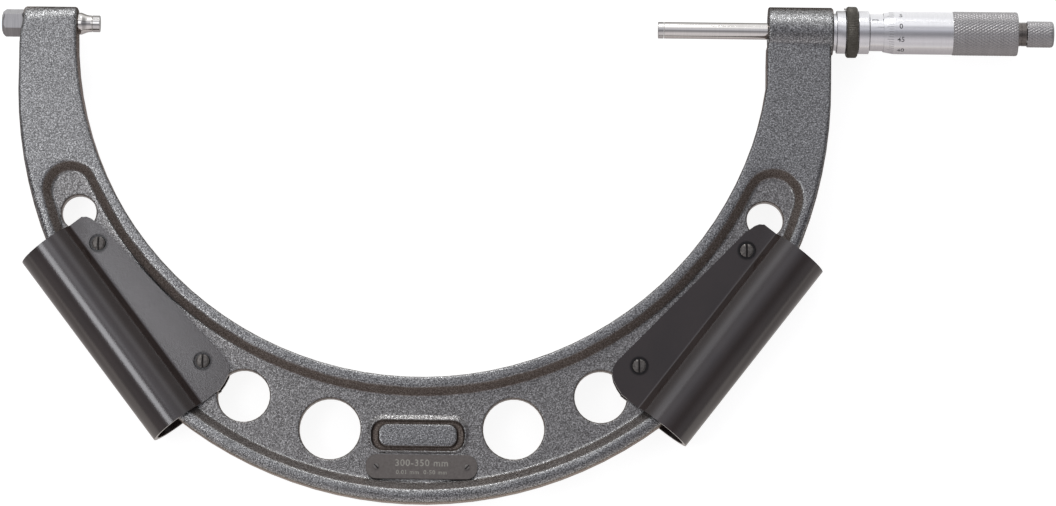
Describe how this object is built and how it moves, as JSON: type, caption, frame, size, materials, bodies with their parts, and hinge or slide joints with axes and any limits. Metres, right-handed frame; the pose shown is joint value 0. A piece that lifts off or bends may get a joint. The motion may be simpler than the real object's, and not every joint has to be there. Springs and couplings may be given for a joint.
{
  "type": "outside micrometer",
  "caption": "Large outside micrometer: deep recessed C-frame with tubular side grips, fixed anvil, and a measuring head with lock ring, thimble and ratchet stop.",
  "frame": {"origin": "centre of the anvil's flat measuring face", "axes": "+X along the spindle axis from the anvil to the measuring head, +Y away from the bottom of the C-frame, +Z out of the frame's front face, which faces up as it lies"},
  "size_m": [0.5652, 0.2704, 0.0332],
  "materials": {
    "hammertone_grey": "satin",
    "black_lacquer": "satin",
    "satin_chrome": "satin",
    "ground_steel": "satin",
    "carbide": "satin",
    "black_oxide": "satin",
    "plate_grey": "satin"
  },
  "bodies": {
    "frame_body": {"frame": "hammertone_grey", "anvil": "ground_steel", "anvil_tip": "carbide", "anvil_cap_nut": "satin_chrome", "grip_left": "black_lacquer", "grip_right": "black_lacquer", "grip_screw_left_upper": "black_oxide", "grip_screw_left_lower": "black_oxide", "grip_screw_right_upper": "black_oxide", "grip_screw_right_lower": "black_oxide", "grip_nut_left_upper": "black_oxide", "grip_nut_left_lower": "black_oxide", "grip_nut_right_upper": "black_oxide", "grip_nut_right_lower": "black_oxide", "rating_plate": "plate_grey", "plate_pin_left": "black_oxide", "plate_pin_right": "black_oxide", "guide_bush": "satin_chrome", "lock_roller": "ground_steel", "sleeve_collar": "satin_chrome", "inner_sleeve": "ground_steel", "adjusting_nut": "ground_steel", "scale_sleeve": "satin_chrome"},
    "spindle_body": {"spindle": "ground_steel", "spindle_tip": "carbide"},
    "thimble_body": {"thimble": "satin_chrome", "ratchet_body": "black_oxide", "ratchet_teeth": "ground_steel", "ratchet_spring": "ground_steel", "ratchet_screw": "ground_steel"},
    "knob_body": {"ratchet_knob": "satin_chrome"},
    "lock_body": {"lock_ring": "black_oxide", "lock_pin": "ground_steel"}
  },
  "joints": [
    {"name": "spindle_travel", "type": "slide", "parent": "frame_body", "child": "spindle_body", "axis": [1, 0, 0], "range_m": [0, 0.05]},
    {"name": "thimble_spin", "type": "hinge", "parent": "spindle_body", "child": "thimble_body", "pos_m": [0.421, 0, 0], "axis": [1, 0, 0], "range_deg": [0, 36000]},
    {"name": "ratchet_spin", "type": "hinge", "parent": "thimble_body", "child": "knob_body", "pos_m": [0.4983, 0, 0], "axis": [1, 0, 0], "continuous": true},
    {"name": "lock_ring_turn", "type": "hinge", "parent": "frame_body", "child": "lock_body", "pos_m": [0.40105, 0, 0], "axis": [1, 0, 0], "range_deg": [0, 40]}
  ],
  "couplings": [
    {"joint": "thimble_spin", "follows": "spindle_travel", "rad_per_m": 12566}
  ]
}
